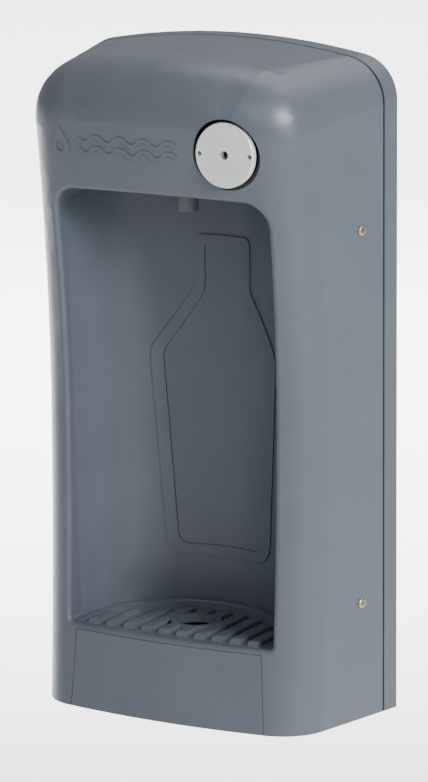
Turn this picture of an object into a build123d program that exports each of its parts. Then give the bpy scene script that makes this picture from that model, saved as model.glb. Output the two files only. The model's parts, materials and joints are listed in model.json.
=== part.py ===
"""Wall-mounted bottle-filling fountain.

Millimetres. X runs to the right as seen from the front, Y runs back to the wall and Z runs up.
The wall is the plane Y = 0, the bottom edge is Z = 0 and X = 0 is the middle of the housing, so the
front faces -Y and a depth is a distance in front of the wall.
"""

from build123d import *
import os
from math import cos, radians, sin, sqrt, tan

# housing
wall_width = 288.0              # width where the frame meets the wall
crown_height = 538.0            # highest point of the arched top
crown_radius = 630.0
corner_share = 0.1215           # radius of the upper corners at the wall, over the width
corner_growth = 0.11            # the corners open out by this much for each millimetre of depth
side_flare = 12.2               # degrees that each side leans out towards the wall
top_slope = 4.0                 # degrees that the top rises towards the wall
form_overrun = 42.0             # how far the tapered form is lofted past the waist's depth
waist_drop = 303.0              # from the crown down to where the front is at its slimmest
waist_depth = 118.0
lower_arc = 2900.0              # front profile below the waist
upper_arc = 1200.0              # front profile above the waist
bow_radius = 625.0              # the front's sideways bow at the waist
front_edge_share = 0.1389       # radius round the front's edge, over the width
shroud_wall = 3.2
frame_depth = 16.0              # depth of the wall frame, where the seam is
seam_width = 1.0                # groove that marks the seam between frame and shroud
seam_sink = 0.8
outline_crease = 1.0            # edges of the front shorter than this in height aren't rounded

# emblem: a drop in front of two rows of ripples
emblem_relief = 0.9
emblem_side_margin = 61.0       # from the wall frame's side to the drop's middle
emblem_drop_radius = 8.5
emblem_drop_length = 17.5       # from the middle of the round part to the tip
emblem_drop_sink = 3.5          # below the button's middle
ripple_offset = 19.0            # from the drop's middle to the first ripple
ripple_length = 11.0
ripple_sag = 2.6
ripple_width = 2.8
ripple_button_margin = 13.0
ripple_rows = (-5.0, 4.0)       # heights about the button's middle

# alcove
floor_height = 67.7
alcove_back = 22.0              # depth of the back wall on the centre line
cheek_width = 48.0              # from the wall frame's side to the alcove's side
mouth_bottom_inset = 2.5        # each side of the mouth inside the alcove's side
mouth_top_inset = 0.5
head_height = 112.0             # from the crown down to the middle of the mouth's top edge
head_side_height = 114.0
opening_top_corner = 20.0
opening_bottom_corner = 4.5
opening_lip_radius = 3.5
mouth_edge_reach = 12.6         # the mouth's front edges lie this near the alcove's axis, or further out

# bottle outline raised on the back wall
bottle_base_rise = 44.8         # above the alcove floor
bottle_shoulder_drop = 254.0    # below the crown
bottle_neck_drop = 204.5
bottle_top_drop = 161.0
bottle_base_round = 18.0
bottle_shoulder_round = 24.0
bottle_neck_round = 14.0
bottle_top_round = 6.5
bottle_base_half = 47.0
bottle_shoulder_half = 58.0
bottle_neck_half = 25.4
bottle_band = 8.5
bottle_ridge_height = 1.4
bottle_ridge_root = 0.3         # how far the band reaches into the wall behind it

# access panel
panel_drop = 4.0                # from the alcove floor down to the panel's top
panel_side_margin = 8.75        # from the mouth's side in to the panel's top corner
panel_spread = 4.1              # each side leans out by this much at the bottom
panel_thickness = 2.0
panel_gap = 0.45
panel_ledge = 6.0
panel_flange_depth = 24.0
panel_screw_margin = 33.85      # from the panel's side to the screw
panel_screw_length = 9.0
countersink_angle = 41.0

# drip tray and drain
tray_clearance = 3.5            # between the tray's edge and the alcove's wall
tray_thickness = 3.0
tray_gap = 0.4
tray_front_margin = 4.4
tray_rim_width = 5.0
tray_rim_rise = 9.0
tray_rib_pitch = 16.3
tray_rib_width = 9.6
tray_rib_height = 3.6
tray_rib_round = 1.2
tray_rim_round = 2.25
tray_rib_setback = 11.8         # from the front down to where the ribs start
tray_rib_margin = 8.0           # from the rim's outside to the ribs' ends
drain_depth = 72.0
drain_hole_diameter = 33.0
drain_collar_diameter = 41.0
sump_diameter = 66.0
sump_depth = 7.0
drain_flange_diameter = 62.0
drain_flange_thickness = 2.5
drain_gasket_thickness = 1.5
drain_thread_diameter = 40.0
drain_locknut_thickness = 4.5
waste_tube_diameter = 31.75
waste_tube_wall = 1.6
waste_bend_radius = 18.5
waste_nut_height = 7.0
waste_nut_hex = 50.0
waste_nut_grip = 3.0            # length of thread inside the waste nut
drain_locknut_hex = 52.0
strainer_thickness = 1.4
strainer_diameter = 44.0
strainer_hole_diameter = 3.6
strainer_ring_pitch = 5.4
strainer_ring_count = 2
strainer_ring_holes = 6         # in the first ring, and as many more in each further ring

# push button
button_side_margin = 77.0       # from the wall frame's side to the button's middle
button_drop = 75.5              # from the crown down to the button's middle
button_diameter = 50.8
button_overhang = 20.5          # the button's front in front of the waist
button_thickness = 5.0
button_edge_chamfer = 0.6
button_travel = 4.5
button_rim_gap = 2.6
sleeve_clearance = 0.4
sleeve_wall = 1.7
sleeve_front_setback = 7.5      # setbacks are from the button's front towards the wall
sleeve_back_setback = 30.5
sleeve_floor_thickness = 3.0
spanner_hole_diameter = 4.0
spanner_hole_margin = 3.4       # from the button's edge to the hole's middle
adjuster_hole_diameter = 7.0
adjuster_notch_diameter = 3.0
adjuster_front_setback = 7.5
adjuster_back_setback = 21.5
adjuster_slot_width = 1.4
adjuster_slot_depth = 2.0
stem_diameter = 10.0
stem_clearance = 0.05
stem_back_setback = 54.5
stem_seat_diameter = 18.0
stem_seat_thickness = 3.0
seal_setback = 34.5
seal_section = 2.0
stem_flange_diameter = 30.0
stem_flange_thickness = 5.5
spring_radius = 11.5
spring_wire = 1.6
spring_turns = 3.0
spring_end_gap = 0.15

# valve
valve_size = 36.0
valve_corner = 3.0
valve_back_setback = 76.5
valve_front_setback = 38.5
valve_port_setback = 58.5
valve_cavity_diameter = 24.0
valve_cavity_setback = 68.5
valve_boss_diameter = 15.0
valve_boss_length = 5.0
bonnet_front_setback = 22.5
bonnet_neck_diameter = 20.0
bonnet_hex = 30.0
sleeve_nut_hex = 27.0
sleeve_nut_thickness = 4.0
bracket_thickness = 2.0
bracket_width = 50.0
bracket_leg = 42.0
bracket_hole_share = 0.65       # share of the leg's height where its screws are
bracket_hole_depth = 6.0
bracket_bend = 3.0
bracket_screw_diameter = 4.0
bracket_screw_head = 7.5
bracket_screw_head_height = 2.2
bracket_screw_recess = 2.5
bracket_screw_spread = 14.0
shelf_screw_length = 8.0
shelf_screw_setback = 72.5
screw_head_share = 0.7          # share of a pan head that its rounding and its recess take

# spout
spout_diameter = 17.6
spout_tip_drop = 132.0          # below the crown
spout_shank_diameter = 14.5
spout_bore = 9.5
spout_gasket_thickness = 1.0
spout_nut_hex = 22.0
spout_nut_thickness = 6.0
spout_shank_drop = 100.0
straightener_diameter = 13.0
straightener_thickness = 5.0
straightener_hole_diameter = 1.8
straightener_ring_pitch = 2.38
straightener_ring_count = 2
straightener_ring_holes = 6
spout_mouth_depth = 6.0
spout_tip_round = 0.8

# water lines
tube_diameter = 9.5
tube_wall = 0.9
tube_bend = 15.0
riser_side_margin = 32.0        # from the wall frame's side to the riser
riser_depth = 30.0
inlet_height = 45.0
inlet_diameter = 15.9
stop_body_diameter = 24.0
stop_outlet_diameter = 15.0
stop_outlet_height = 68.0
inline_strainer_diameter = 22.0
inline_strainer_length = 28.0
inline_strainer_gap = 1.5
inline_strainer_chamfer = 1.5
fitting_nut_hex = 17.0
fitting_nut_length = 6.5
fitting_nut_chamfer = 0.6
fitting_overlap = 4.0
inlet_clearance = 1.0           # from the pipe ends to the wall
stop_body_back = 14.0
stop_body_front = 46.0
stop_bore = 8.0
stop_chamfer = 1.0
packing_nut_hex = 21.0
packing_nut_length = 7.0
handle_back_depth = 58.0
handle_thickness = 8.0
handle_length = 24.0
handle_width = 13.0
handle_round = 2.0
lower_clip_height = 200.0
upper_clip_drop = 208.0         # below the crown
clip_height = 10.0
clip_wall = 2.0
clip_foot_width = 18.0

# wall frame
plate_thickness = 2.5
wall_hole_diameter = 8.0
wall_hole_side_margin = 54.0
wall_hole_bottom_margin = 100.0
wall_hole_top_margin = 138.0
pipe_hole_margin = 3.0          # round the waste and supply pipes where they cross the plate
side_screw_depth = 43.0
lower_side_screw_height = 95.3
upper_side_screw_drop = 143.0   # below the crown
side_screw_diameter = 4.0
side_screw_head = 8.0
side_screw_head_height = 2.0
side_screw_length = 10.0
side_screw_recess = 3.6
tab_thickness = 2.5
tab_reach = 54.0
tab_height = 24.0
tab_foot = 20.0

free_gap = 0.3                  # between pieces that move past each other
past = 30.0                     # how far a cutting tool runs past what it cuts
skim = 1.0                      # a cutting tool's shorter overrun, where something else is near

corner_radius = corner_share * wall_width
front_edge_radius = front_edge_share * wall_width
form_depth = waist_depth + form_overrun
waist_height = crown_height - waist_drop
bow_axis_y = bow_radius - waist_depth
flare = tan(radians(side_flare))
slope = tan(radians(top_slope))
alcove_radius = min(waist_depth - alcove_back, wall_width / 2 - cheek_width)
alcove_axis_y = -alcove_back - alcove_radius
opening_bottom_width = 2 * (alcove_radius - mouth_bottom_inset)
opening_top_width = 2 * (alcove_radius - mouth_top_inset)
opening_side_height = crown_height - head_side_height
opening_crown_height = crown_height - head_height
bottle_base = floor_height + bottle_base_rise
bottle_shoulder = crown_height - bottle_shoulder_drop
bottle_neck_base = crown_height - bottle_neck_drop
bottle_top = crown_height - bottle_top_drop
panel_top_height = floor_height - panel_drop
panel_top_width = opening_bottom_width - 2 * panel_side_margin
panel_bottom_width = panel_top_width + 2 * panel_spread
panel_screw_spacing = panel_bottom_width - 2 * panel_screw_margin
tray_radius = alcove_radius - tray_clearance
tray_rib_count = int(2 * (tray_radius - tray_rib_margin) / tray_rib_pitch)
tray_underside = floor_height - tray_thickness
shelf_top = tray_underside - free_gap
sump_floor = shelf_top - sump_depth
sump_bottom = sump_floor - shroud_wall
drain_top = sump_floor + drain_gasket_thickness + drain_flange_thickness
waste_nut_top = sump_bottom - drain_locknut_thickness - free_gap
waste_nut_bottom = waste_nut_top - waste_nut_height
waste_height = waste_nut_bottom - waste_bend_radius
nozzle_seat = opening_crown_height - spout_gasket_thickness
ceiling_top = opening_crown_height + shroud_wall
button_x = wall_width / 2 - button_side_margin
button_z = crown_height - button_drop
button_hole_diameter = button_diameter + 2 * button_rim_gap
spanner_hole_spacing = button_diameter - 2 * spanner_hole_margin
button_front_depth = waist_depth + button_overhang
button_back_depth = button_front_depth - button_thickness
sleeve_front_depth = button_front_depth - sleeve_front_setback
sleeve_back_depth = button_front_depth - sleeve_back_setback
adjuster_front_depth = button_front_depth - adjuster_front_setback
adjuster_back_depth = button_front_depth - adjuster_back_setback
stem_back_depth = button_front_depth - stem_back_setback
seal_depth = button_front_depth - seal_setback
valve_back_depth = button_front_depth - valve_back_setback
valve_front_depth = button_front_depth - valve_front_setback
valve_port_depth = button_front_depth - valve_port_setback
valve_cavity_back_depth = button_front_depth - valve_cavity_setback
bonnet_front_depth = button_front_depth - bonnet_front_setback
shelf_screw_depth = button_front_depth - shelf_screw_setback
stem_flange_back = button_back_depth - stem_flange_thickness
sleeve_floor_depth = sleeve_back_depth + sleeve_floor_thickness
sleeve_nut_front = sleeve_floor_depth + sleeve_nut_thickness
sleeve_diameter = button_hole_diameter - 2 * sleeve_clearance
valve_bottom = button_z - valve_size / 2
valve_side = valve_size / 2 + valve_boss_length
leg_screw_height = valve_bottom + bracket_leg * bracket_hole_share
leg_screw_spots = [(button_x + side * bracket_screw_spread, leg_screw_height) for side in (-1, 1)]
spout_tip_height = crown_height - spout_tip_drop
spout_shank_top = crown_height - spout_shank_drop
riser_x = wall_width / 2 - riser_side_margin
inline_bottom = stop_outlet_height + fitting_nut_length + inline_strainer_gap
inline_top = inline_bottom + inline_strainer_length
clip_heights = (lower_clip_height, crown_height - upper_clip_drop)
wall_hole_spacing_x = wall_width - 2 * wall_hole_side_margin
wall_hole_spacing_z = crown_height - wall_hole_top_margin - wall_hole_bottom_margin
wall_hole_center_z = wall_hole_bottom_margin + wall_hole_spacing_z / 2
side_screw_heights = (lower_side_screw_height, crown_height - upper_side_screw_drop)


def profile_depth(height):
    """Depth of the front on the centre line at a height."""
    radius = upper_arc if height > waist_height else lower_arc
    rise = height - waist_height
    return waist_depth + radius - sqrt(radius**2 - rise**2)


def half_width(depth):
    """Half the housing's width at a depth."""
    return wall_width / 2 - depth * flare


def apex(depth):
    """Height of the crown on the centre line at a depth."""
    return crown_height - depth * slope


def front_outline(depth, inset):
    """Face across the housing at a depth, smaller by inset all round."""
    half = half_width(depth) - inset
    top = apex(depth) - inset
    radius = crown_radius - inset
    corner = corner_radius + corner_growth * depth - inset
    with BuildSketch(Plane.XZ.offset(depth)) as face:
        Rectangle(2 * half, 2 * top, align=(Align.CENTER, Align.MIN))
        with Locations((0, top - radius)):
            Circle(radius, mode=Mode.INTERSECT)
        fillet(face.vertices().group_by(Axis.Y)[-1], corner)
    return face.sketch


def bow_section(inset):
    """Side section that is turned about the bow axis to give the front's double curve."""
    top = crown_height + past
    with BuildSketch(Plane.YZ) as section:
        with BuildLine():
            low = (inset - profile_depth(0), 0)
            waist = (inset - waist_depth, waist_height)
            high = (inset - profile_depth(top), top)
            TangentArc(waist, high, tangent=(0, 1))
            Line(high, (bow_axis_y, top))
            Line((bow_axis_y, top), (bow_axis_y, 0))
            Line((bow_axis_y, 0), low)
            TangentArc(waist, low, tangent=(0, -1))
        make_face()
    return section.sketch


def outer_form(inset=0.0):
    """Solid of the whole housing, smaller by inset on the front, sides and top."""
    with BuildPart() as form:
        add(front_outline(0, inset))
        add(front_outline(form_depth, inset))
        loft(ruled=True)
        revolve(bow_section(inset), axis=Axis((0, bow_axis_y, 0), (0, 0, 1)), mode=Mode.INTERSECT)
        front = form.faces().sort_by(Axis.Y)[:2]
        rim = front.edges().filter_by(lambda edge: edge.bounding_box().size.Z > outline_crease)
        fillet(rim, front_edge_radius - inset)
    return form.part


def opening_profile(grow=0.0):
    """Front view of the alcove's mouth."""
    low = opening_bottom_width / 2 + grow
    high = opening_top_width / 2 + grow
    left_top = (-high, opening_side_height + grow)
    right_top = (high, opening_side_height + grow)
    with BuildSketch() as mouth:
        with BuildLine():
            Line((-low, floor_height - grow), (low, floor_height - grow))
            Line((low, floor_height - grow), right_top)
            ThreePointArc(right_top, (0, opening_crown_height + grow), left_top)
            Line(left_top, (-low, floor_height - grow))
        make_face()
        fillet(mouth.vertices().group_by(Axis.Y)[0], opening_bottom_corner + grow)
        fillet(mouth.vertices().group_by(Axis.Y)[-1], opening_top_corner + grow)
    return mouth.sketch


def rounded_plan(radius, front_depth):
    """Plan of a half-round shape about the alcove's axis, straight-sided up to a depth."""
    run = front_depth + alcove_axis_y
    with BuildSketch(Plane.XY) as plan:
        with Locations((0, alcove_axis_y)):
            Circle(radius)
            Rectangle(2 * radius, run, align=(Align.CENTER, Align.MAX))
            if run < radius:
                with Locations((0, -run)):
                    Rectangle(2 * radius, radius, align=(Align.CENTER, Align.MAX), mode=Mode.SUBTRACT)
    return plan.sketch


def alcove_form(grow=0.0):
    """Hollow of the alcove as a solid, larger by grow all round."""
    with BuildPart() as hollow:
        with BuildSketch(Plane.XY):
            add(rounded_plan(alcove_radius + grow, form_depth + alcove_radius))
        extrude(amount=crown_height)
        add(front_prism(opening_profile(grow), 0, form_depth + past), mode=Mode.INTERSECT)
    return hollow.part


def front_prism(profile, near_depth, far_depth):
    """Front-view profile extruded between two depths."""
    with BuildPart() as prism:
        with BuildSketch(Plane.XZ.offset(near_depth)):
            add(profile)
        extrude(amount=far_depth - near_depth)
    return prism.part


def panel_profile(gap=0.0, ledge=0.0):
    """Front view of the access panel, or of its opening when a gap or ledge is given."""
    drop = past if gap else 0
    lean = (panel_bottom_width - panel_top_width) / 2 / panel_top_height
    low = panel_bottom_width / 2 + gap - ledge + lean * drop
    high = panel_top_width / 2 + gap - ledge
    top = panel_top_height + gap - ledge
    with BuildSketch() as outline:
        with BuildLine():
            Polyline((-low, -drop), (low, -drop), (high, top), (-high, top), close=True)
        make_face()
    return outline.sketch


def bottle_profile():
    """Band that outlines a bottle, as seen from the front."""
    right = [
        (bottle_base_half, bottle_base),
        (bottle_shoulder_half, bottle_shoulder),
        (bottle_neck_half, bottle_neck_base),
        (bottle_neck_half, bottle_top),
    ]
    left = [(-x, z) for x, z in reversed(right)]
    rounds = [bottle_base_round, bottle_shoulder_round, bottle_neck_round, bottle_top_round]
    with BuildSketch() as band:
        with BuildLine():
            FilletPolyline(*right, *left, radius=rounds + rounds[::-1], close=True)
        make_face()
        offset(amount=-bottle_band, mode=Mode.SUBTRACT)
    return band.sketch


def emblem_profile():
    """A plain water drop in front of two rows of ripples."""
    drop_x = emblem_side_margin - wall_width / 2
    drop_z = button_z - emblem_drop_sink
    drop_tip = drop_z + emblem_drop_length
    ripple_start = drop_x + ripple_offset
    ripple_end = button_x - button_hole_diameter / 2 - ripple_button_margin
    side = emblem_drop_radius * sqrt(1 - (emblem_drop_radius / emblem_drop_length) ** 2)
    rise = emblem_drop_radius**2 / emblem_drop_length
    right = (drop_x + side, drop_z + rise)
    left = (drop_x - side, drop_z + rise)
    with BuildSketch() as emblem:
        with BuildLine():
            Line((drop_x, drop_tip), right)
            ThreePointArc(right, (drop_x, drop_z - emblem_drop_radius), left)
            Line(left, (drop_x, drop_tip))
        make_face()
        with Locations((drop_x, drop_z)):
            Circle(emblem_drop_radius / 2, mode=Mode.SUBTRACT)
        for row in ripple_rows:
            with BuildLine():
                for turn in range(int((ripple_end - ripple_start) / ripple_length)):
                    start = (ripple_start + turn * ripple_length, button_z + row)
                    end = (start[0] + ripple_length, start[1])
                    SagittaArc(start, end, ripple_sag if turn % 2 else -ripple_sag)
                offset(amount=ripple_width / 2)
            make_face()
    return emblem.sketch


def side_plane(side, height):
    """Plane on the side of the housing where a side screw enters, facing outwards."""
    angle = radians(side_flare)
    origin = (side * half_width(side_screw_depth), -side_screw_depth, height)
    return Plane(origin=origin, x_dir=(0, 0, 1), z_dir=(side * cos(angle), -sin(angle), 0))


def side_planes():
    """Planes of all the side screws."""
    return [side_plane(side, height) for side in (-1, 1) for height in side_screw_heights]


def panel_screw_planes():
    """Planes under the bottom edge where the panel screws enter, facing down."""
    depth = profile_depth(0) - panel_flange_depth / 2
    spots = [(side * panel_screw_spacing / 2, -depth, 0) for side in (-1, 1)]
    return [Plane(origin=spot, x_dir=(1, 0, 0), z_dir=(0, 0, -1)) for spot in spots]


def tube_along(path, outer, inner):
    """Tube of two diameters along a path."""
    section = Plane(origin=path @ 0, z_dir=path % 0)
    with BuildPart() as tube:
        with BuildSketch(section):
            Circle(outer / 2)
            Circle(inner / 2, mode=Mode.SUBTRACT)
        sweep(path=path)
    return tube.part


def fitting_nut(start, direction):
    """Compression nut that grips the end of a water tube."""
    with BuildPart() as nut:
        with BuildSketch(Plane(origin=start, z_dir=direction)):
            RegularPolygon(fitting_nut_hex / 2, 6, major_radius=False)
            Circle(tube_diameter / 2, mode=Mode.SUBTRACT)
        extrude(amount=fitting_nut_length)
        hex_face = nut.faces().filter_by(GeomType.PLANE).sort_by(SortBy.AREA)[-1]
        chamfer(hex_face.outer_wire().edges(), fitting_nut_chamfer)
    return nut.part


def mouth_edges(blank):
    """Edges where the alcove's mouth meets the bowed front."""
    reach = opening_top_width / 2 + free_gap

    def on_mouth(edge):
        box = edge.bounding_box()
        across = -reach < box.min.X and box.max.X < reach
        upright = floor_height - free_gap < box.min.Z and box.max.Z < opening_crown_height + free_gap
        runs_back = edge.geom_type in (GeomType.LINE, GeomType.ELLIPSE)
        return across and upright and box.max.Y < alcove_axis_y + mouth_edge_reach and not runs_back

    return blank.edges().filter_by(on_mouth)


def cylinder_down(x, depth, top, bottom, diameter):
    """Upright cylinder between two heights."""
    with BuildPart() as post:
        with BuildSketch(Plane.XY.offset(bottom)):
            with Locations((x, -depth)):
                Circle(diameter / 2)
        extrude(amount=top - bottom)
    return post.part


def cylinder_forward(near_depth, far_depth, x, z, diameter):
    """Cylinder that points at the front, between two depths."""
    with BuildPart() as post:
        with BuildSketch(Plane.XZ.offset(near_depth)):
            with Locations((x, z)):
                Circle(diameter / 2)
        extrude(amount=far_depth - near_depth)
    return post.part


housing = outer_form()
housing_inside = outer_form(shroud_wall)
panel_inside = outer_form(panel_thickness)
relief_form = outer_form(-emblem_relief)
screw_clearance = side_screw_diameter + 2 * free_gap

# ---------------------------------------------------------------- front shroud
with BuildPart() as lining:
    add(alcove_form(shroud_wall))
    with BuildSketch(Plane.XY.offset(shelf_top - shroud_wall)):
        add(rounded_plan(alcove_radius + shroud_wall, form_depth))
    extrude(amount=floor_height - shelf_top)
    add(cylinder_down(0, drain_depth, shelf_top, sump_bottom, sump_diameter + 2 * shroud_wall))

with BuildPart() as shroud_cavity:
    add(housing_inside)
    split(bisect_by=Plane.XY.offset(shroud_wall), keep=Keep.TOP)
    add(lining.part, mode=Mode.SUBTRACT)

with BuildPart() as tray_recess:
    with BuildSketch(Plane.XY.offset(shelf_top)):
        add(rounded_plan(tray_radius + tray_gap, form_depth))
        with Locations((0, bow_axis_y)):
            Circle(bow_axis_y + profile_depth(floor_height) - tray_front_margin, mode=Mode.INTERSECT)
    extrude(amount=floor_height + tray_rim_rise + skim - shelf_top)

with BuildPart() as bottle_ridge:
    add(front_prism(bottle_profile(), 0, -alcove_axis_y))
    add(alcove_form(bottle_ridge_root), mode=Mode.INTERSECT)
    add(alcove_form(-bottle_ridge_height), mode=Mode.SUBTRACT)

with BuildPart() as emblem:
    add(front_prism(emblem_profile(), waist_depth, form_depth))
    add(relief_form, mode=Mode.INTERSECT)
    add(panel_inside, mode=Mode.SUBTRACT)

with BuildPart() as panel_rebate:
    add(front_prism(panel_profile(panel_gap), waist_depth - past, form_depth))
    add(panel_inside, mode=Mode.SUBTRACT)

with BuildPart() as panel_window:
    add(front_prism(panel_profile(panel_gap, panel_ledge), waist_depth - past, form_depth))
    split(bisect_by=Plane.XY.offset(shroud_wall), keep=Keep.TOP)
    add(lining.part, mode=Mode.SUBTRACT)

with BuildPart() as seam_groove:
    add(housing)
    add(outer_form(seam_sink), mode=Mode.SUBTRACT)
    with BuildSketch(Plane.XZ.offset(frame_depth - seam_width / 2)):
        Rectangle(2 * wall_width, 2 * crown_height)
    extrude(amount=seam_width, mode=Mode.INTERSECT)

with BuildPart() as front_shroud:
    add(housing)
    add(alcove_form(), mode=Mode.SUBTRACT)
    fillet(mouth_edges(front_shroud), opening_lip_radius)
    add(shroud_cavity.part, mode=Mode.SUBTRACT)
    add(tray_recess.part, mode=Mode.SUBTRACT)
    add(panel_rebate.part, mode=Mode.SUBTRACT)
    add(panel_window.part, mode=Mode.SUBTRACT)
    add(bottle_ridge.part)
    add(emblem.part)
    split(bisect_by=Plane.XZ.offset(frame_depth), keep=Keep.TOP)
    add(seam_groove.part, mode=Mode.SUBTRACT)
    hole_near = sleeve_front_depth - past
    add(
        cylinder_forward(hole_near, form_depth, button_x, button_z, button_hole_diameter),
        mode=Mode.SUBTRACT,
    )
    spout_hole = spout_shank_diameter + 2 * free_gap
    spout_cutter = cylinder_down(0, valve_port_depth, ceiling_top + skim, opening_side_height, spout_hole)
    add(spout_cutter, mode=Mode.SUBTRACT)
    gasket_seat = cylinder_down(0, valve_port_depth, opening_crown_height, nozzle_seat, spout_diameter)
    add(gasket_seat, mode=Mode.SUBTRACT)
    sump_cutter = cylinder_down(0, drain_depth, shelf_top + skim, sump_floor, sump_diameter)
    add(sump_cutter, mode=Mode.SUBTRACT)
    drain_hole = drain_thread_diameter + 2 * free_gap
    drain_cutter = cylinder_down(0, drain_depth, shelf_top, sump_bottom - skim, drain_hole)
    add(drain_cutter, mode=Mode.SUBTRACT)
    with Locations(*side_planes()):
        Hole(screw_clearance / 2, depth=2 * shroud_wall)
    with Locations(*panel_screw_planes()):
        CounterSinkHole(screw_clearance / 2, side_screw_head / 2 + free_gap, 2 * shroud_wall)

# ---------------------------------------------------------------- wall frame
with BuildPart() as frame_hollow:
    add(housing_inside)
    split(bisect_by=Plane.XY.offset(shroud_wall), keep=Keep.TOP)
    split(bisect_by=Plane.XZ.offset(plate_thickness), keep=Keep.TOP)

with BuildPart() as back_frame:
    add(housing)
    split(bisect_by=Plane.XZ.offset(frame_depth), keep=Keep.BOTTOM)
    add(seam_groove.part, mode=Mode.SUBTRACT)
    add(frame_hollow.part, mode=Mode.SUBTRACT)
    with BuildSketch(Plane.XZ):
        with Locations((0, wall_hole_center_z)):
            with GridLocations(wall_hole_spacing_x, wall_hole_spacing_z, 2, 2):
                Circle(wall_hole_diameter / 2)
        with Locations((0, waste_height)):
            Circle(waste_tube_diameter / 2 + pipe_hole_margin)
        with Locations((riser_x, inlet_height)):
            Circle(inlet_diameter / 2 + pipe_hole_margin)
        with Locations(*leg_screw_spots):
            Circle(bracket_screw_diameter / 2)
    extrude(amount=plate_thickness, mode=Mode.SUBTRACT)

with BuildPart() as side_tabs:
    add(housing_inside)
    add(outer_form(shroud_wall + tab_thickness), mode=Mode.SUBTRACT)
    with BuildSketch(Plane.XZ.offset(plate_thickness)):
        Rectangle(wall_width, crown_height, align=(Align.CENTER, Align.MIN))
        foot_inside = 2 * (half_width(plate_thickness) - shroud_wall - tab_foot)
        Rectangle(foot_inside, crown_height, align=(Align.CENTER, Align.MIN), mode=Mode.SUBTRACT)
    extrude(amount=tab_thickness)
    add(housing_inside, mode=Mode.INTERSECT)
    with BuildSketch(Plane.XZ.offset(plate_thickness)):
        for height in side_screw_heights:
            with Locations((0, height)):
                Rectangle(wall_width, tab_height)
    extrude(amount=tab_reach - plate_thickness, mode=Mode.INTERSECT)
    with Locations(*side_planes()):
        Hole(side_screw_diameter / 2, depth=past)


def pan_screw(diameter, length, head, head_height, recess):
    """Pan-head screw pointing down, with its head's underside at the origin."""
    with BuildPart() as screw:
        with BuildSketch():
            Circle(head / 2)
        extrude(amount=head_height)
        fillet(screw.edges().group_by(Axis.Z)[-1], head_height * screw_head_share)
        with BuildSketch():
            Circle(diameter / 2)
        extrude(amount=-length)
        with BuildSketch(Plane.XY.offset(head_height)):
            RegularPolygon(recess / 2, 6, major_radius=False)
            Circle(recess / 6, mode=Mode.SUBTRACT)
        extrude(amount=-head_height * screw_head_share, mode=Mode.SUBTRACT)
    return screw.part


side_screw = pan_screw(
    side_screw_diameter, side_screw_length, side_screw_head, side_screw_head_height, side_screw_recess
)
with BuildPart() as side_screws:
    with Locations(*side_planes()):
        add(side_screw)

# ---------------------------------------------------------------- access panel
with BuildPart() as access_panel:
    add(front_prism(panel_profile(), waist_depth - past, form_depth))
    add(panel_inside, mode=Mode.SUBTRACT)
    with BuildSketch(Plane.XY.offset(shroud_wall)):
        with Locations((0, -profile_depth(0) + panel_flange_depth / 2)):
            Rectangle(panel_screw_spacing + panel_flange_depth, panel_flange_depth)
    extrude(amount=panel_thickness)
    add(housing, mode=Mode.INTERSECT)
    with Locations(*panel_screw_planes()):
        Hole(side_screw_diameter / 2, depth=past)

with BuildPart() as flush_screw:
    shank = side_screw_diameter / 2
    head = side_screw_head / 2
    sink = (head - shank) / tan(radians(countersink_angle))
    with BuildSketch(Plane.XZ):
        side = [(head, 0), (shank, -sink), (shank, -panel_screw_length)]
        Polygon((0, 0), *side, (0, -panel_screw_length), align=None)
    revolve(axis=Axis.Z)
    with BuildSketch():
        RegularPolygon(side_screw_recess / 2, 6, major_radius=False)
    extrude(amount=-sink / 2, mode=Mode.SUBTRACT)

with BuildPart() as panel_screws:
    with Locations(*panel_screw_planes()):
        add(flush_screw.part)

# ---------------------------------------------------------------- drip tray
tray_front_reach = bow_axis_y + profile_depth(floor_height) - tray_front_margin - tray_gap
tray_rib_front = profile_depth(floor_height) - tray_rib_setback


def rib_back(x):
    """Where a rib ends behind the tray's middle."""
    return alcove_axis_y + sqrt((tray_radius - tray_rib_margin) ** 2 - x**2)


with BuildPart() as tray_ribs:
    for index in range(tray_rib_count):
        rib_x = (index - (tray_rib_count - 1) / 2) * tray_rib_pitch
        with BuildSketch(Plane.YZ.offset(rib_x - tray_rib_width / 2)):
            with BuildLine():
                Polyline(
                    (-tray_rib_front, floor_height),
                    (tray_rib_height - tray_rib_front, floor_height + tray_rib_height),
                    (rib_back(rib_x) - tray_rib_height, floor_height + tray_rib_height),
                    (rib_back(rib_x), floor_height),
                    close=True,
                )
            make_face()
        extrude(amount=tray_rib_width)
    fillet(tray_ribs.edges().filter_by(Axis.Y).group_by(Axis.Z)[-1], tray_rib_round)

with BuildPart() as tray_rim:
    with BuildSketch(Plane.XY.offset(tray_underside)):
        with Locations((0, alcove_axis_y)):
            Circle(tray_radius)
            Circle(tray_radius - tray_rim_width, mode=Mode.SUBTRACT)
    extrude(amount=tray_thickness + tray_rim_rise)
    fillet(tray_rim.edges().group_by(Axis.Z)[-1], tray_rim_round)
    with BuildSketch(Plane.YZ):
        with BuildLine():
            Polyline(
                (alcove_axis_y, tray_underside),
                (alcove_axis_y, floor_height),
                (-alcove_back, floor_height + tray_rim_rise),
                (-alcove_back, tray_underside),
                close=True,
            )
        make_face()
    extrude(amount=tray_radius, both=True, mode=Mode.INTERSECT)
    with BuildSketch(Plane.XY.offset(tray_underside)):
        with Locations((0, bow_axis_y)):
            Circle(tray_front_reach)
    extrude(amount=tray_thickness + tray_rim_rise, mode=Mode.INTERSECT)

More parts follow.
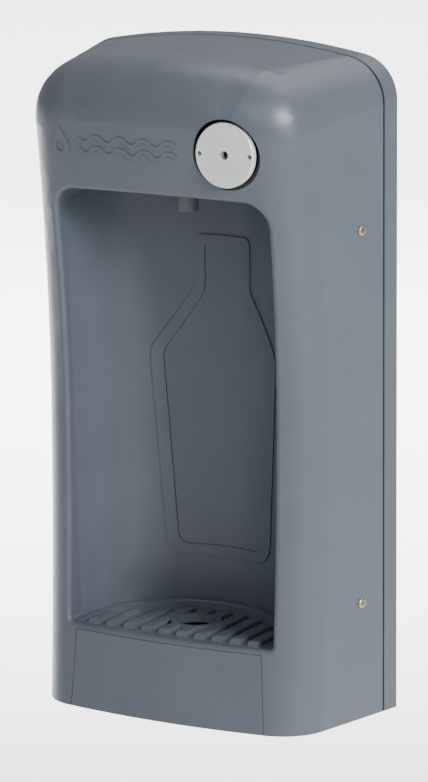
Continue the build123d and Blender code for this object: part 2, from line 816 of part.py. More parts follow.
with BuildPart() as drip_tray:
    with BuildSketch(Plane.XY.offset(tray_underside)):
        add(rounded_plan(tray_radius, form_depth))
        with Locations((0, bow_axis_y)):
            Circle(tray_front_reach, mode=Mode.INTERSECT)
    extrude(amount=tray_thickness)
    add(tray_rim.part)
    add(tray_ribs.part)
    collar_top = floor_height + tray_rib_height
    add(cylinder_down(0, drain_depth, collar_top, tray_underside, drain_collar_diameter))
    hole = cylinder_down(0, drain_depth, collar_top + skim, tray_underside - skim, drain_hole_diameter)
    add(hole, mode=Mode.SUBTRACT)

# ---------------------------------------------------------------- drain
drain_body_bottom = waste_nut_top - waste_nut_grip

with BuildPart() as drain_body:
    flange_bottom = drain_top - drain_flange_thickness
    add(cylinder_down(0, drain_depth, drain_top, flange_bottom, drain_flange_diameter))
    add(cylinder_down(0, drain_depth, flange_bottom, drain_body_bottom, drain_thread_diameter))
    bore_bottom = drain_body_bottom - skim
    bore = cylinder_down(0, drain_depth, drain_top + skim, bore_bottom, waste_tube_diameter)
    add(bore, mode=Mode.SUBTRACT)
    strainer_seat = drain_top - strainer_thickness
    seat = cylinder_down(0, drain_depth, drain_top + skim, strainer_seat, strainer_diameter)
    add(seat, mode=Mode.SUBTRACT)

with BuildPart() as drain_gasket:
    with BuildSketch(Plane.XY.offset(sump_floor)):
        with Locations((0, -drain_depth)):
            Circle(drain_flange_diameter / 2)
            Circle(drain_thread_diameter / 2, mode=Mode.SUBTRACT)
    extrude(amount=drain_gasket_thickness)

with BuildPart() as drain_locknut:
    with BuildSketch(Plane.XY.offset(sump_bottom)):
        with Locations((0, -drain_depth)):
            RegularPolygon(drain_locknut_hex / 2, 6, major_radius=False)
            Circle(drain_thread_diameter / 2, mode=Mode.SUBTRACT)
    extrude(amount=-drain_locknut_thickness)

with BuildPart() as waste_nut:
    with BuildSketch(Plane.XY.offset(waste_nut_bottom)):
        with Locations((0, -drain_depth)):
            RegularPolygon(waste_nut_hex / 2, 6, major_radius=False)
            Circle(waste_tube_diameter / 2, mode=Mode.SUBTRACT)
    extrude(amount=waste_nut_height)
    grip = cylinder_down(0, drain_depth, waste_nut_top, drain_body_bottom, drain_thread_diameter)
    add(grip, mode=Mode.SUBTRACT)

with BuildPart() as drain_strainer:
    add(cylinder_down(0, drain_depth, drain_top, strainer_seat, strainer_diameter))
    with BuildSketch(Plane.XY.offset(strainer_seat)):
        with Locations((0, -drain_depth)):
            Circle(strainer_hole_diameter / 2)
            for ring in range(1, strainer_ring_count + 1):
                with PolarLocations(ring * strainer_ring_pitch, strainer_ring_holes * ring):
                    Circle(strainer_hole_diameter / 2)
    extrude(amount=strainer_thickness, mode=Mode.SUBTRACT)

with BuildLine() as waste_path:
    bend_start = (0, -drain_depth, waste_nut_bottom)
    Line((0, -drain_depth, waste_nut_top), bend_start)
    bend_middle = (
        0,
        -drain_depth + waste_bend_radius * (1 - sqrt(1 / 2)),
        waste_nut_bottom - waste_bend_radius * sqrt(1 / 2),
    )
    bend_end = (0, -drain_depth + waste_bend_radius, waste_height)
    ThreePointArc(bend_start, bend_middle, bend_end)
    Line(bend_end, (0, -inlet_clearance, waste_height))
waste_wire = waste_path.wire()
waste_bore = waste_tube_diameter - 2 * waste_tube_wall
waste_elbow = tube_along(waste_wire, waste_tube_diameter, waste_bore)

# ---------------------------------------------------------------- push button
with BuildPart() as button_face:
    add(cylinder_forward(button_back_depth, button_front_depth, button_x, button_z, button_diameter))
    chamfer(button_face.edges().group_by(Axis.Y)[0], button_edge_chamfer)
    with BuildSketch(Plane.XZ.offset(button_back_depth)):
        with Locations((button_x, button_z)):
            Circle(adjuster_hole_diameter / 2)
            with Locations((-adjuster_hole_diameter / 2, 0)):
                Circle(adjuster_notch_diameter / 2)
            with GridLocations(spanner_hole_spacing, 0, 2, 1):
                Circle(spanner_hole_diameter / 2)
    extrude(amount=button_thickness, mode=Mode.SUBTRACT)

with BuildPart() as button_stem:
    flange_back = stem_flange_back
    add(cylinder_forward(flange_back, button_back_depth, button_x, button_z, stem_flange_diameter))
    add(cylinder_forward(stem_back_depth, flange_back, button_x, button_z, stem_diameter))
    seat_front = stem_back_depth + stem_seat_thickness
    add(cylinder_forward(stem_back_depth, seat_front, button_x, button_z, stem_seat_diameter))
    adjuster_back = adjuster_back_depth - free_gap
    bore = cylinder_forward(adjuster_back, form_depth, button_x, button_z, adjuster_hole_diameter)
    add(bore, mode=Mode.SUBTRACT)

with BuildPart() as flow_adjuster:
    adjuster_diameter = adjuster_hole_diameter - 2 * stem_clearance
    barrel_depths = (adjuster_back_depth, adjuster_front_depth)
    add(cylinder_forward(*barrel_depths, button_x, button_z, adjuster_diameter))
    with BuildSketch(Plane.XZ.offset(adjuster_front_depth)):
        with Locations((button_x, button_z)):
            Rectangle(adjuster_hole_diameter, adjuster_slot_width)
    extrude(amount=-adjuster_slot_depth, mode=Mode.SUBTRACT)

with BuildPart() as button_sleeve:
    add(cylinder_forward(sleeve_back_depth, sleeve_front_depth, button_x, button_z, sleeve_diameter))
    guide = sleeve_diameter - 2 * sleeve_wall
    hollow = cylinder_forward(sleeve_floor_depth, form_depth, button_x, button_z, guide)
    add(hollow, mode=Mode.SUBTRACT)
    neck = cylinder_forward(waist_depth / 2, form_depth, button_x, button_z, bonnet_neck_diameter)
    add(neck, mode=Mode.SUBTRACT)

with BuildPart() as sleeve_locknut:
    with BuildSketch(Plane.XZ.offset(sleeve_floor_depth)):
        with Locations((button_x, button_z)):
            RegularPolygon(sleeve_nut_hex / 2, 6, major_radius=False)
            Circle(bonnet_neck_diameter / 2, mode=Mode.SUBTRACT)
    extrude(amount=sleeve_nut_thickness)

with BuildPart() as button_spring:
    spring_back = sleeve_nut_front + spring_wire / 2 + spring_end_gap
    spring_front = stem_flange_back - spring_wire / 2 - spring_end_gap
    spring_length = spring_front - spring_back
    with BuildLine() as coil:
        Helix(
            pitch=spring_length / spring_turns,
            height=spring_length,
            radius=spring_radius,
            center=(button_x, -spring_back, button_z),
            direction=(0, -1, 0),
        )
    with BuildSketch(Plane(origin=coil.line @ 0, z_dir=coil.line % 0)):
        Circle(spring_wire / 2)
    sweep(path=coil.line, is_frenet=True)

# ---------------------------------------------------------------- valve
with BuildPart() as valve_bonnet:
    with BuildSketch(Plane.XZ.offset(valve_front_depth)):
        with Locations((button_x, button_z)):
            RegularPolygon(bonnet_hex / 2, 6, major_radius=False)
    extrude(amount=sleeve_back_depth - valve_front_depth)
    neck = cylinder_forward(sleeve_back_depth, bonnet_front_depth, button_x, button_z, bonnet_neck_diameter)
    add(neck)
    stem_bore = stem_diameter + 2 * stem_clearance
    bore = cylinder_forward(valve_back_depth, form_depth, button_x, button_z, stem_bore)
    add(bore, mode=Mode.SUBTRACT)
    groove_diameter = stem_bore + 2 * seal_section
    groove = cylinder_forward(seal_depth, seal_depth + seal_section, button_x, button_z, groove_diameter)
    add(groove, mode=Mode.SUBTRACT)

with BuildPart() as stem_seal:
    seal_middle = (stem_bore + seal_section) / 2
    with BuildSketch(Plane.XY.offset(button_z)):
        with Locations((button_x + seal_middle, -seal_depth - seal_section / 2)):
            Circle(seal_section / 2)
    revolve(axis=Axis((button_x, 0, button_z), (0, 1, 0)))

with BuildPart() as valve_body:
    with BuildSketch(Plane.XZ.offset(valve_back_depth)):
        with Locations((button_x, button_z)):
            RectangleRounded(valve_size, valve_size, valve_corner)
    extrude(amount=valve_front_depth - valve_back_depth)
    with BuildSketch(Plane.YZ.offset(button_x - valve_side)):
        with Locations((-valve_port_depth, button_z)):
            Circle(valve_boss_diameter / 2)
    extrude(amount=2 * valve_side)
    with BuildSketch(Plane.YZ.offset(button_x - valve_side)):
        with Locations((-valve_port_depth, button_z)):
            Circle(tube_diameter / 2)
    extrude(amount=2 * valve_side, mode=Mode.SUBTRACT)
    cavity = cylinder_forward(
        valve_cavity_back_depth, valve_front_depth, button_x, button_z, valve_cavity_diameter
    )
    add(cavity, mode=Mode.SUBTRACT)

with BuildPart() as valve_bracket:
    bracket_left = button_x - bracket_width / 2
    with BuildSketch(Plane.YZ.offset(bracket_left)) as bracket_side:
        with BuildLine():
            Polyline(
                (-plate_thickness, valve_bottom - bracket_thickness),
                (-plate_thickness, valve_bottom + bracket_leg),
                (-plate_thickness - bracket_thickness, valve_bottom + bracket_leg),
                (-plate_thickness - bracket_thickness, valve_bottom),
                (-valve_front_depth, valve_bottom),
                (-valve_front_depth, valve_bottom - bracket_thickness),
                close=True,
            )
        make_face()
    extrude(amount=bracket_width)
    inner_bend = valve_bracket.edges().filter_by(Axis.X).sort_by_distance(
        (button_x, -plate_thickness - bracket_thickness, valve_bottom)
    )[0]
    fillet(inner_bend, bracket_bend)

leg_planes = [
    Plane(
        origin=(x, -plate_thickness - bracket_thickness, z),
        x_dir=(1, 0, 0),
        z_dir=(0, -1, 0),
    )
    for x, z in leg_screw_spots
]
shelf_planes = [
    Plane(
        origin=(x, -shelf_screw_depth, valve_bottom - bracket_thickness),
        x_dir=(1, 0, 0),
        z_dir=(0, 0, -1),
    )
    for x, z in leg_screw_spots
]

with BuildPart() as bracket_screws:
    leg_length = plate_thickness + bracket_thickness - free_gap
    head_sizes = (bracket_screw_head, bracket_screw_head_height, bracket_screw_recess)
    with Locations(*leg_planes):
        add(pan_screw(bracket_screw_diameter, leg_length, *head_sizes))
    with Locations(*shelf_planes):
        add(pan_screw(bracket_screw_diameter, shelf_screw_length, *head_sizes))


def drilled(piece, planes, diameter, depth):
    """A piece with the same hole drilled at each plane."""
    with BuildPart() as result:
        add(piece)
        with Locations(*planes):
            Hole(diameter / 2, depth=depth)
    return result.part


bracket_planes = leg_planes + shelf_planes
bracket_drilled = drilled(valve_bracket.part, bracket_planes, bracket_screw_diameter, bracket_hole_depth)
valve_drilled = drilled(valve_body.part, shelf_planes, bracket_screw_diameter, shelf_screw_length)

# ---------------------------------------------------------------- spout
with BuildPart() as spout_nozzle:
    add(cylinder_down(0, valve_port_depth, nozzle_seat, spout_tip_height, spout_diameter))
    fillet(spout_nozzle.edges().group_by(Axis.Z)[0], spout_tip_round)
    add(cylinder_down(0, valve_port_depth, spout_shank_top, nozzle_seat, spout_shank_diameter))
    mouth_top = spout_tip_height + spout_mouth_depth
    tip = spout_tip_height - skim
    add(cylinder_down(0, valve_port_depth, mouth_top, tip, straightener_diameter), mode=Mode.SUBTRACT)
    add(cylinder_down(0, valve_port_depth, spout_shank_top, tip, spout_bore), mode=Mode.SUBTRACT)

with BuildPart() as flow_straightener:
    insert_bottom = mouth_top - straightener_thickness
    add(cylinder_down(0, valve_port_depth, mouth_top, insert_bottom, straightener_diameter))
    with BuildSketch(Plane.XY.offset(insert_bottom)):
        with Locations((0, -valve_port_depth)):
            Circle(straightener_hole_diameter / 2)
            for ring in range(1, straightener_ring_count + 1):
                with PolarLocations(ring * straightener_ring_pitch, straightener_ring_holes * ring):
                    Circle(straightener_hole_diameter / 2)
    extrude(amount=straightener_thickness, mode=Mode.SUBTRACT)

with BuildPart() as spout_gasket:
    with BuildSketch(Plane.XY.offset(nozzle_seat)):
        with Locations((0, -valve_port_depth)):
            Circle(spout_diameter / 2)
            Circle(spout_shank_diameter / 2, mode=Mode.SUBTRACT)
    extrude(amount=spout_gasket_thickness)

with BuildPart() as spout_locknut:
    with BuildSketch(Plane.XY.offset(ceiling_top)):
        with Locations((0, -valve_port_depth)):
            RegularPolygon(spout_nut_hex / 2, 6, major_radius=False)
            Circle(spout_shank_diameter / 2, mode=Mode.SUBTRACT)
    extrude(amount=spout_nut_thickness)

# ---------------------------------------------------------------- water lines
tube_bore = tube_diameter - 2 * tube_wall

with BuildLine() as supply_path:
    FilletPolyline(
        (riser_x, -riser_depth, inline_top - fitting_overlap),
        (riser_x, -riser_depth, button_z),
        (riser_x, -valve_port_depth, button_z),
        (button_x + valve_side - fitting_overlap, -valve_port_depth, button_z),
        radius=tube_bend,
    )
supply_tube = tube_along(supply_path.wire(), tube_diameter, tube_bore)

with BuildLine() as outlet_path:
    FilletPolyline(
        (button_x - valve_side + fitting_overlap, -valve_port_depth, button_z),
        (0, -valve_port_depth, button_z),
        (0, -valve_port_depth, spout_shank_top - fitting_overlap),
        radius=tube_bend,
    )
outlet_tube = tube_along(outlet_path.wire(), tube_diameter, tube_bore)

nut_places = [
    ((riser_x, -riser_depth, stop_outlet_height), (0, 0, 1)),
    ((riser_x, -riser_depth, inline_top), (0, 0, 1)),
    ((button_x + valve_side, -valve_port_depth, button_z), (1, 0, 0)),
    ((button_x - valve_side, -valve_port_depth, button_z), (-1, 0, 0)),
    ((0, -valve_port_depth, spout_shank_top), (0, 0, 1)),
]
with BuildPart() as compression_nuts:
    for start, direction in nut_places:
        add(fitting_nut(start, direction))

with BuildPart() as inline_strainer:
    barrel = cylinder_down(riser_x, riser_depth, inline_top, inline_bottom, inline_strainer_diameter)
    add(barrel)
    chamfer(inline_strainer.edges().filter_by(GeomType.CIRCLE), inline_strainer_chamfer)
    neck_bottom = stop_outlet_height - fitting_overlap
    add(cylinder_down(riser_x, riser_depth, inline_bottom, neck_bottom, tube_diameter))
    add(cylinder_down(riser_x, riser_depth, inline_top, neck_bottom, tube_bore), mode=Mode.SUBTRACT)
    socket_bottom = inline_top - fitting_overlap
    add(cylinder_down(riser_x, riser_depth, inline_top, socket_bottom, tube_diameter), mode=Mode.SUBTRACT)

with BuildPart() as tube_clips:
    for height in clip_heights:
        with BuildSketch(Plane.XY.offset(height - clip_height / 2)):
            with Locations((riser_x, -riser_depth)):
                Circle(tube_diameter / 2 + clip_wall)
            with Locations((riser_x, -plate_thickness)):
                Rectangle(2 * clip_wall, riser_depth - plate_thickness, align=(Align.CENTER, Align.MAX))
                Rectangle(clip_foot_width, clip_wall, align=(Align.CENTER, Align.MAX))
            with Locations((riser_x, -riser_depth)):
                Circle(tube_diameter / 2, mode=Mode.SUBTRACT)
        extrude(amount=clip_height)

with BuildPart() as supply_stop:
    add(cylinder_forward(stop_body_back, stop_body_front, riser_x, inlet_height, stop_body_diameter))
    chamfer(supply_stop.edges().filter_by(GeomType.CIRCLE), stop_chamfer)
    add(cylinder_forward(inlet_clearance, stop_body_back, riser_x, inlet_height, inlet_diameter))
    outlet = cylinder_down(riser_x, riser_depth, stop_outlet_height, inlet_height, stop_outlet_diameter)
    add(outlet)
    inlet_bore = cylinder_forward(inlet_clearance, riser_depth, riser_x, inlet_height, stop_bore)
    add(inlet_bore, mode=Mode.SUBTRACT)
    handle_bore = stop_bore + 2 * stem_clearance
    add(
        cylinder_forward(riser_depth, stop_body_front, riser_x, inlet_height, handle_bore),
        mode=Mode.SUBTRACT,
    )
    add(
        cylinder_down(riser_x, riser_depth, stop_outlet_height, inlet_height, tube_diameter),
        mode=Mode.SUBTRACT,
    )

with BuildPart() as stop_packing_nut:
    with BuildSketch(Plane.XZ.offset(stop_body_front)):
        with Locations((riser_x, inlet_height)):
            RegularPolygon(packing_nut_hex / 2, 6, major_radius=False)
            Circle(handle_bore / 2, mode=Mode.SUBTRACT)
    extrude(amount=packing_nut_length)

with BuildPart() as stop_handle:
    stem_back = riser_depth + tube_diameter / 2 + skim
    add(cylinder_forward(stem_back, handle_back_depth, riser_x, inlet_height, stop_bore))
    with BuildSketch(Plane.XZ.offset(handle_back_depth)):
        with Locations((riser_x, inlet_height)):
            SlotOverall(handle_length, handle_width, rotation=90)
    extrude(amount=handle_thickness)
    fillet(stop_handle.faces().sort_by(Axis.Y)[0].edges(), handle_round)

pieces = {
    "front_shroud": front_shroud.part,
    "back_frame": back_frame.part,
    "side_tabs": side_tabs.part,
    "side_screws": side_screws.part,
    "access_panel": access_panel.part,
    "panel_screws": panel_screws.part,
    "drip_tray": drip_tray.part,
    "drain_body": drain_body.part,
    "drain_gasket": drain_gasket.part,
    "drain_locknut": drain_locknut.part,
    "drain_strainer": drain_strainer.part,
    "waste_nut": waste_nut.part,
    "waste_elbow": waste_elbow,
    "button_face": button_face.part,
    "button_stem": button_stem.part,
    "flow_adjuster": flow_adjuster.part,
    "button_sleeve": button_sleeve.part,
    "sleeve_locknut": sleeve_locknut.part,
    "button_spring": button_spring.part,
    "valve_bonnet": valve_bonnet.part,
    "stem_seal": stem_seal.part,
    "valve_body": valve_drilled,
    "valve_bracket": bracket_drilled,
    "bracket_screws": bracket_screws.part,
    "spout_nozzle": spout_nozzle.part,
    "flow_straightener": flow_straightener.part,
    "spout_gasket": spout_gasket.part,
    "spout_locknut": spout_locknut.part,
    "supply_tube": supply_tube,
    "outlet_tube": outlet_tube,
    "compression_nuts": compression_nuts.part,
    "inline_strainer": inline_strainer.part,
    "tube_clips": tube_clips.part,
    "supply_stop": supply_stop.part,
    "stop_packing_nut": stop_packing_nut.part,
    "stop_handle": stop_handle.part,
}
os.makedirs("parts", exist_ok=True)
for name, piece in pieces.items():
    piece.label = name
    export_step(piece, "parts/" + name + ".step")
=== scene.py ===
"""Looks of a wall-mounted bottle-filling fountain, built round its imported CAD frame. Metres."""

import json
import math

import bmesh
import bpy
from mathutils import Matrix, Vector


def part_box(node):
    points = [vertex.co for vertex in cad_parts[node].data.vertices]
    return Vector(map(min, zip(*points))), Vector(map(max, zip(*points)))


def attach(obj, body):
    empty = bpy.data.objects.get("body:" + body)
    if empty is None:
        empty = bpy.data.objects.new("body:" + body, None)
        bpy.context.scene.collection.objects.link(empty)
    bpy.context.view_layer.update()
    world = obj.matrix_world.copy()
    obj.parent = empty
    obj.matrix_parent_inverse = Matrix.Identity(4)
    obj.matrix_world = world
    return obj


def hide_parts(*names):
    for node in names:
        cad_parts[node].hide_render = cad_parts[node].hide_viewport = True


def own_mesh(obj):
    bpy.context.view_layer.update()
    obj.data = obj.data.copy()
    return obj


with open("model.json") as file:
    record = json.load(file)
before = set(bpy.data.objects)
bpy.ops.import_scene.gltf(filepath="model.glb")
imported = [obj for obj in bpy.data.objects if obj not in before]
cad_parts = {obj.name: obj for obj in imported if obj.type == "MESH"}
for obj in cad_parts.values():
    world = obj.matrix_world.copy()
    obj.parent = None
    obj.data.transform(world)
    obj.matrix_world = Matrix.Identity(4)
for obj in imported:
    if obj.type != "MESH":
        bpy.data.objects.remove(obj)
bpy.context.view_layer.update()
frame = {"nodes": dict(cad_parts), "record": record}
nodes = frame["nodes"]

# ---------------------------------------------------------------- camera
SENSOR_WIDTH = 36.0
CAMERA_AZIMUTH = math.radians(30.2)
CAMERA_ELEVATION = math.radians(12.0)
CAMERA_ROLL = math.radians(-0.48)
CAMERA_DISTANCE = 3.315
CAMERA_LENS_RATIO = 5.318414  # focal length over sensor width
CAMERA_TARGET = Vector((0.0, -0.060, 0.265))
CAMERA_SHIFT = (0.0157, -0.0125)
CAMERA_CLIP_START = 0.05


def make_camera():
    """Three-quarter view from the right, slightly above the middle."""
    data = bpy.data.cameras.new("camera")
    data.sensor_width = SENSOR_WIDTH
    data.lens = data.sensor_width * CAMERA_LENS_RATIO
    data.shift_x, data.shift_y = CAMERA_SHIFT
    data.clip_start = CAMERA_CLIP_START
    camera = bpy.data.objects.new("camera", data)
    bpy.context.scene.collection.objects.link(camera)
    back = Vector(
        (
            math.sin(CAMERA_AZIMUTH) * math.cos(CAMERA_ELEVATION),
            -math.cos(CAMERA_AZIMUTH) * math.cos(CAMERA_ELEVATION),
            math.sin(CAMERA_ELEVATION),
        )
    )
    camera.location = CAMERA_TARGET + back * CAMERA_DISTANCE
    turn = (-back).to_track_quat("-Z", "Y").to_matrix() @ Matrix.Rotation(CAMERA_ROLL, 3, "Z")
    camera.rotation_euler = turn.to_euler()
    bpy.context.scene.camera = camera


# ---------------------------------------------------------------- lamps and floor
FLOOR_HEIGHT = -0.45
FLOOR_HALF_SIZE = 40.0
FLOOR_COLOUR = (0.93, 0.93, 0.93, 1.0)
FLOOR_ROUGHNESS = 0.8
SKY_COLOUR = (1.0, 1.0, 1.0, 1.0)
SKY_STRENGTH = 0.34


def panel_lamp(name, size, power):
    """Rectangular lamp panel, not yet placed."""
    data = bpy.data.lights.new(name, "AREA")
    data.shape = "RECTANGLE"
    data.size, data.size_y = size
    data.energy = power
    light = bpy.data.objects.new(name, data)
    bpy.context.scene.collection.objects.link(light)
    return light


def softbox(name, azimuth, elevation, distance, size, power):
    """Lamp that faces the housing from an azimuth (0 in front, 90 at its right) and elevation."""
    light = panel_lamp(name, size, power)
    around, above = math.radians(azimuth), math.radians(elevation)
    away = Vector(
        (math.sin(around) * math.cos(above), -math.cos(around) * math.cos(above), math.sin(above))
    )
    light.location = CAMERA_TARGET + away * distance
    light.rotation_euler = away.to_track_quat("Z", "Y").to_euler()


def sweep_lamp(name, place, size, power):
    """Lamp behind the housing that only whitens the floor: unseen, and not reflected."""
    light = panel_lamp(name, size, power)
    light.location = place
    light.rotation_euler = (0.0, 0.0, CAMERA_AZIMUTH)
    light.visible_camera = False
    light.visible_glossy = False


def make_stage():
    """Pale even sky and a plain floor below the wall-hung housing."""
    world = bpy.data.worlds.new("studio")
    bpy.context.scene.world = world
    world.use_nodes = True
    background = world.node_tree.nodes["Background"]
    background.inputs["Color"].default_value = SKY_COLOUR
    background.inputs["Strength"].default_value = SKY_STRENGTH
    bm = bmesh.new()
    bmesh.ops.create_grid(bm, x_segments=8, y_segments=8, size=FLOOR_HALF_SIZE)
    bmesh.ops.translate(bm, verts=bm.verts, vec=(0.0, 0.0, FLOOR_HEIGHT))
    mesh = bpy.data.meshes.new("floor")
    bm.to_mesh(mesh)
    bm.free()
    floor = bpy.data.objects.new("floor", mesh)
    bpy.context.scene.collection.objects.link(floor)
    pale = bpy.data.materials.new("pale_floor")
    pale.use_nodes = True
    shader = pale.node_tree.nodes["Principled BSDF"]
    shader.inputs["Base Color"].default_value = FLOOR_COLOUR
    shader.inputs["Roughness"].default_value = FLOOR_ROUGHNESS
    mesh.materials.append(pale)


# ---------------------------------------------------------------- materials
class Paint:
    """A node material under construction: object coordinates, a Principled shader and helpers."""

    def __init__(self, name, colour, roughness, **shader_values):
        self.material = bpy.data.materials.new(name)
        self.material.use_nodes = True
        self.tree = self.material.node_tree
        self.shader = self.tree.nodes["Principled BSDF"]
        self.material.diffuse_color = (*colour, 1.0)
        self.shader.inputs["Base Color"].default_value = (*colour, 1.0)
        self.shader.inputs["Roughness"].default_value = roughness
        for socket, value in shader_values.items():
            self.shader.inputs[socket.replace("_", " ")].default_value = value
        self.place = self.add("ShaderNodeTexCoord").outputs["Object"]

    def add(self, kind, **settings):
        node = self.tree.nodes.new(kind)
        for key, value in settings.items():
            setattr(node, key, value)
        return node

    def link(self, source, target):
        self.tree.links.new(source, target)

    def noise(self, scale, detail=3.0, roughness=0.55, stretch=(1.0, 1.0, 1.0)):
        """Cloudy value; a large stretch along an axis draws it out into lines across that axis."""
        spread = self.add("ShaderNodeMapping")
        spread.inputs["Scale"].default_value = stretch
        self.link(self.place, spread.inputs["Vector"])
        noise = self.add("ShaderNodeTexNoise")
        noise.inputs["Scale"].default_value = scale
        noise.inputs["Detail"].default_value = detail
        noise.inputs["Roughness"].default_value = roughness
        self.link(spread.outputs["Vector"], noise.inputs["Vector"])
        return noise.outputs["Fac"]

    def ranged(self, value, low, high, source=(0.3, 0.7)):
        """Value spread from the source range to low and high, held at both ends."""
        ranged = self.add("ShaderNodeMapRange")
        ranged.inputs["From Min"].default_value, ranged.inputs["From Max"].default_value = source
        ranged.inputs["To Min"].default_value, ranged.inputs["To Max"].default_value = (low, high)
        self.link(value, ranged.inputs["Value"])
        return ranged.outputs["Result"]

    def blend(self, value, *stops):
        """Colour ramp on a value, from (position, colour) stops."""
        ramp = self.add("ShaderNodeValToRGB")
        elements = ramp.color_ramp.elements
        while len(elements) < len(stops):
            elements.new(0.5)
        for element, (position, colour) in zip(elements, stops):
            element.position = position
            element.color = (*colour, 1.0)
        self.link(value, ramp.inputs["Fac"])
        return ramp.outputs["Color"]

    def colour_from(self, value):
        self.link(value, self.shader.inputs["Base Color"])

    def roughness_from(self, value):
        self.link(value, self.shader.inputs["Roughness"])

    def relief(self, height, distance, strength):
        """Bumps the surface by a height value, over a distance in metres."""
        bump = self.add("ShaderNodeBump")
        bump.inputs["Distance"].default_value = distance
        bump.inputs["Strength"].default_value = strength
        self.link(height, bump.inputs["Height"])
        self.link(bump.outputs["Normal"], self.shader.inputs["Normal"])


def shade(colour, factor):
    """The colour made lighter or darker."""
    return tuple(min(1.0, part * factor) for part in colour)


def moulded_plastic(name, colour, roughness, seam_depth):
    """Injection-moulded shell: fine spark-eroded grain, slight flow mottling, painted shade along its
    seam.
    """
    paint = Paint(name, colour, roughness, Specular_IOR_Level=0.5)
    mottle = paint.noise(scale=22.0, detail=4.0)
    tone = paint.blend(mottle, (0.3, shade(colour, 0.955)), (0.7, shade(colour, 1.045)))
    axes = paint.add("ShaderNodeSeparateXYZ")
    paint.link(paint.place, axes.inputs["Vector"])
    away = paint.add("ShaderNodeMath", operation="ADD")
    away.inputs[1].default_value = seam_depth
    paint.link(axes.outputs["Y"], away.inputs[0])
    distance = paint.add("ShaderNodeMath", operation="ABSOLUTE")
    paint.link(away.outputs["Value"], distance.inputs[0])
    # painted shade: colour darkened to a quarter at the seam, as shade in the gap between shell and frame
    seam_shade = paint.ranged(distance.outputs["Value"], 0.25, 1.0, (SEAM_SHADE_REACH / 2, SEAM_SHADE_REACH))
    seam_shaded = paint.add("ShaderNodeMix", data_type="RGBA", blend_type="MULTIPLY")
    seam_shaded.inputs["Factor"].default_value = 1.0
    paint.link(tone, seam_shaded.inputs["A"])
    paint.link(seam_shade, seam_shaded.inputs["B"])
    paint.colour_from(seam_shaded.outputs["Result"])
    wear = paint.noise(scale=60.0)
    paint.roughness_from(paint.ranged(wear, roughness - 0.04, roughness + 0.05))
    grain = paint.noise(scale=700.0, detail=1.5)
    paint.relief(grain, distance=0.00008, strength=0.3)
    return paint.material


def smooth_plastic(name, colour, roughness):
    """Plain moulding without grain, with faint flow lines."""
    paint = Paint(name, colour, roughness, Specular_IOR_Level=0.5)
    flow = paint.noise(scale=45.0, detail=4.0, stretch=(1.0, 1.0, 0.35))
    paint.colour_from(paint.blend(flow, (0.3, shade(colour, 0.92)), (0.7, shade(colour, 1.08))))
    wear = paint.noise(scale=180.0)
    paint.roughness_from(paint.ranged(wear, roughness - 0.06, roughness + 0.08))
    marks = paint.noise(scale=500.0)
    paint.relief(marks, distance=0.0001, strength=0.25)
    return paint.material


def brushed_metal(name, colour, roughness, stretch, metallic=1.0):
    """Rolled or brushed metal with fine parallel scratches."""
    paint = Paint(name, colour, roughness, Metallic=metallic)
    lines = paint.noise(scale=160.0, detail=5.0, roughness=0.65, stretch=stretch)
    cloud = paint.noise(scale=35.0)
    paint.colour_from(paint.blend(cloud, (0.3, shade(colour, 0.94)), (0.7, shade(colour, 1.04))))
    paint.roughness_from(paint.ranged(lines, roughness - 0.07, roughness + 0.09))
    paint.relief(lines, distance=0.00008, strength=0.3)
    return paint.material


def machined_metal(name, colour, roughness, stain):
    """Turned or drawn metal that has dulled in patches."""
    paint = Paint(name, colour, roughness, Metallic=1.0)
    patches = paint.noise(scale=70.0, detail=5.0, roughness=0.6)
    paint.colour_from(paint.blend(patches, (0.32, stain), (0.5, colour), (0.75, shade(colour, 1.06))))
    paint.roughness_from(paint.ranged(patches, roughness + 0.14, roughness - 0.04))
    marks = paint.noise(scale=700.0)
    paint.relief(marks, distance=0.00006, strength=0.3)
    return paint.material


def soft_rubber(name, colour, roughness):
    """Dull seal rubber with a dusty surface."""
    paint = Paint(name, colour, roughness, Specular_IOR_Level=0.3)
    dust = paint.noise(scale=120.0, detail=5.0, roughness=0.7)
    paint.colour_from(paint.blend(dust, (0.35, colour), (0.8, shade(colour, 1.9))))
    paint.roughness_from(paint.ranged(dust, roughness - 0.08, roughness + 0.08))
    grain = paint.noise(scale=900.0)
    paint.relief(grain, distance=0.0001, strength=0.35)
    return paint.material


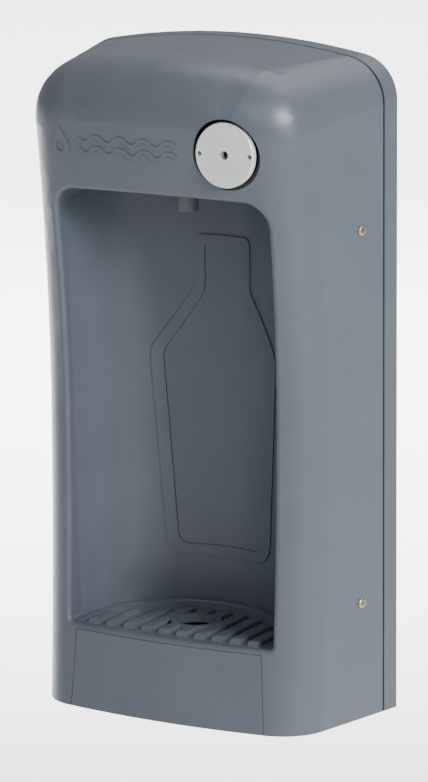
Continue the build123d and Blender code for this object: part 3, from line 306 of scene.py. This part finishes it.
SLATE = (0.098, 0.118, 0.144)
STRAIGHT_GRAIN = (1.0, 1.0, 26.0)
CROSS_GRAIN = (26.0, 1.0, 1.0)
SEAM_DEPTH = 0.016  # the frame's depth from the wall
SEAM_SHADE_REACH = 0.0015  # reach of the painted seam shade on each side of the seam
FINISHES = {
    "cover": moulded_plastic("cover_slate", SLATE, 0.34, SEAM_DEPTH),
    "frame": moulded_plastic("frame_slate", shade(SLATE, 0.96), 0.4, SEAM_DEPTH),
    # painted shade: near-black finish that darkens the button's middle like a shaded recess
    "painted_shade_core": smooth_plastic("painted_shade_core", (0.015, 0.016, 0.018), 0.4),
    "zinc": machined_metal("zinc_plate", (0.55, 0.56, 0.57), 0.38, (0.42, 0.42, 0.42)),
    "screw_brass": machined_metal("screw_brass", (0.55, 0.47, 0.32), 0.3, (0.24, 0.2, 0.13)),
    "button_steel": brushed_metal("button_steel", (0.9, 0.94, 0.92), 0.36, STRAIGHT_GRAIN, metallic=0.35),
    "stainless": brushed_metal("stainless", (0.55, 0.56, 0.57), 0.3, CROSS_GRAIN),
    "spout_plastic": smooth_plastic("spout_plastic", (0.125, 0.135, 0.15), 0.42),
    "black_plastic": smooth_plastic("black_plastic", (0.02, 0.02, 0.02), 0.45),
    "white_plastic": smooth_plastic("white_plastic", (0.75, 0.75, 0.73), 0.4),
    "seal_rubber": soft_rubber("seal_rubber", (0.03, 0.03, 0.03), 0.7),
    "brass": machined_metal("valve_brass", (0.72, 0.55, 0.28), 0.3, (0.42, 0.3, 0.14)),
    "chrome_plate": machined_metal("chrome_plate", (0.8, 0.8, 0.8), 0.12, (0.62, 0.62, 0.63)),
    "copper": machined_metal("copper_tube", (0.72, 0.4, 0.25), 0.28, (0.4, 0.2, 0.13)),
    "water_hose": smooth_plastic("water_hose", (0.7, 0.72, 0.74), 0.35),
}
NODE_FINISH = {"flow_adjuster": "painted_shade_core"}  # seen only as the dark middle of the button: near-black as painted shade in its recess


def dress_cad():
    """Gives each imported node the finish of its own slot, or its own finish."""
    for entry in frame["record"]["subparts"]:
        node = nodes[entry["node"]]
        finish = FINISHES[NODE_FINISH.get(entry["node"], entry["material_slot"])]
        for slot in node.material_slots:
            slot.material = finish


# ---------------------------------------------------------------- return spring
SPRING_WIRE = 0.0016
SPRING_TURNS = 3
SPRING_STEPS = 48 * SPRING_TURNS
WIRE_SEGMENTS = 16
TOWARDS_WALL = Vector((0.0, 1.0, 0.0))


def make_spring():
    """Return spring on the space of its CAD node."""
    low, high = (Vector(corner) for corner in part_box("button_spring"))
    back = Vector(((low.x + high.x) / 2, high.y, (low.z + high.z) / 2))
    start = back - Vector((0.0, SPRING_WIRE / 2, 0.0))
    reach = (high.x - low.x - SPRING_WIRE) / 2
    length = high.y - low.y - SPRING_WIRE
    bm = bmesh.new()
    section = bmesh.ops.create_circle(
        bm,
        segments=WIRE_SEGMENTS,
        radius=SPRING_WIRE / 2,
        matrix=Matrix.Translation(start + Vector((reach, 0.0, 0.0))),
    )
    rim = list({edge for vert in section["verts"] for edge in vert.link_edges})
    bmesh.ops.spin(
        bm,
        geom=section["verts"] + rim,
        cent=start,
        axis=-TOWARDS_WALL,
        dvec=-TOWARDS_WALL * length / SPRING_STEPS,
        angle=SPRING_TURNS * math.tau,
        steps=SPRING_STEPS,
    )
    bmesh.ops.holes_fill(bm, edges=[edge for edge in bm.edges if edge.is_boundary])
    bmesh.ops.recalc_face_normals(bm, faces=bm.faces)
    for face in bm.faces:
        face.smooth = True
    mesh = bpy.data.meshes.new("return_spring")
    bm.to_mesh(mesh)
    bm.free()
    spring = bpy.data.objects.new("return_spring", mesh)
    bpy.context.scene.collection.objects.link(spring)
    mesh.materials.append(FINISHES["stainless"])
    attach(spring, "housing")
    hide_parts("button_spring")
    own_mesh(spring)


# ---------------------------------------------------------------- the scene
dress_cad()
make_spring()
make_camera()
make_stage()
softbox("key", azimuth=69, elevation=23, distance=3.2, size=(0.95, 0.95), power=96)
softbox("side", azimuth=86, elevation=16, distance=3.0, size=(0.8, 1.2), power=5)
softbox("top", azimuth=165, elevation=68, distance=2.6, size=(2.6, 2.2), power=38)
softbox("front", azimuth=16, elevation=30, distance=3.4, size=(2.2, 2.2), power=24)
sweep_lamp("far_sweep", place=(-3.2, 6.0, 1.1), size=(9.0, 8.0), power=1250)
sweep_lamp("near_sweep", place=(-1.3, 2.5, 0.4), size=(4.5, 3.0), power=230)
